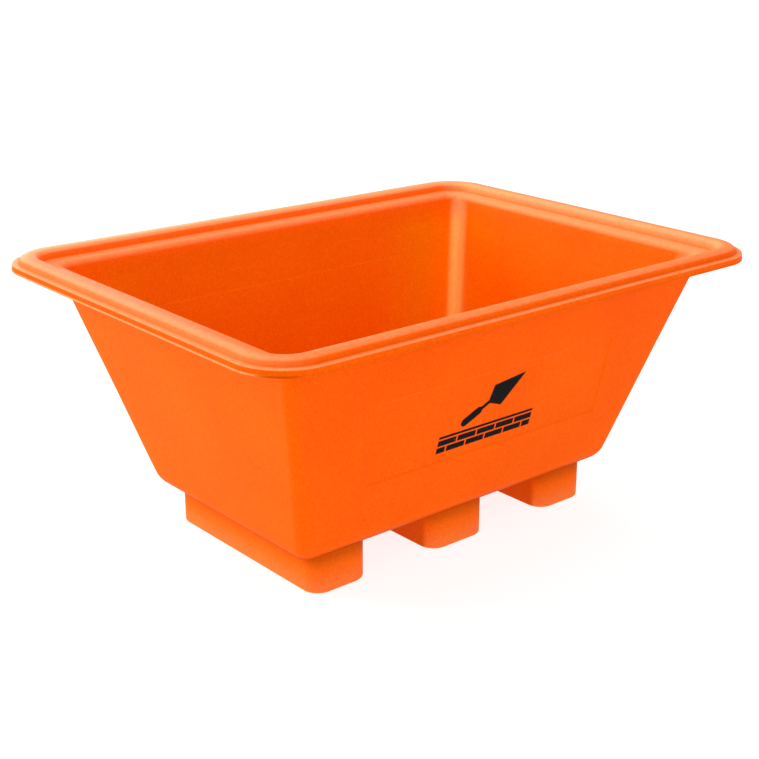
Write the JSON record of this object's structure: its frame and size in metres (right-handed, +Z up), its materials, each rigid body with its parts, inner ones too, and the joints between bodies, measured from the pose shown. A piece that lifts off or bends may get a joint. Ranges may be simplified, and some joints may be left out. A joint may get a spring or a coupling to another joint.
{
  "type": "mortar mixing tub",
  "caption": "Open rectangular tub for mixing and carrying mortar, with leaning walls, a rolled rim and skid runners that leave pockets for lifting forks.",
  "frame": {"origin": "on the ground, under the middle of the tub", "axes": "+X along the long side to the right seen from the printed front, +Y from front to back, +Z up"},
  "size_m": [1.2, 0.9, 0.545],
  "materials": {
    "tub": "moulded polyethylene, satin, fine orange-peel grain",
    "runners": "moulded polyethylene, satin, scuffed underneath",
    "inserts": "turned",
    "fixings": "zinc plated",
    "print": "black print, matt"
  },
  "bodies": {
    "root": {"tub_shell": "tub", "runner_left": "runners", "runner_centre": "runners", "runner_right": "runners", "floor_inserts": "inserts", "bolt_washers": "fixings", "runner_bolts": "fixings", "front_decal": "print"}
  },
  "joints": []
}
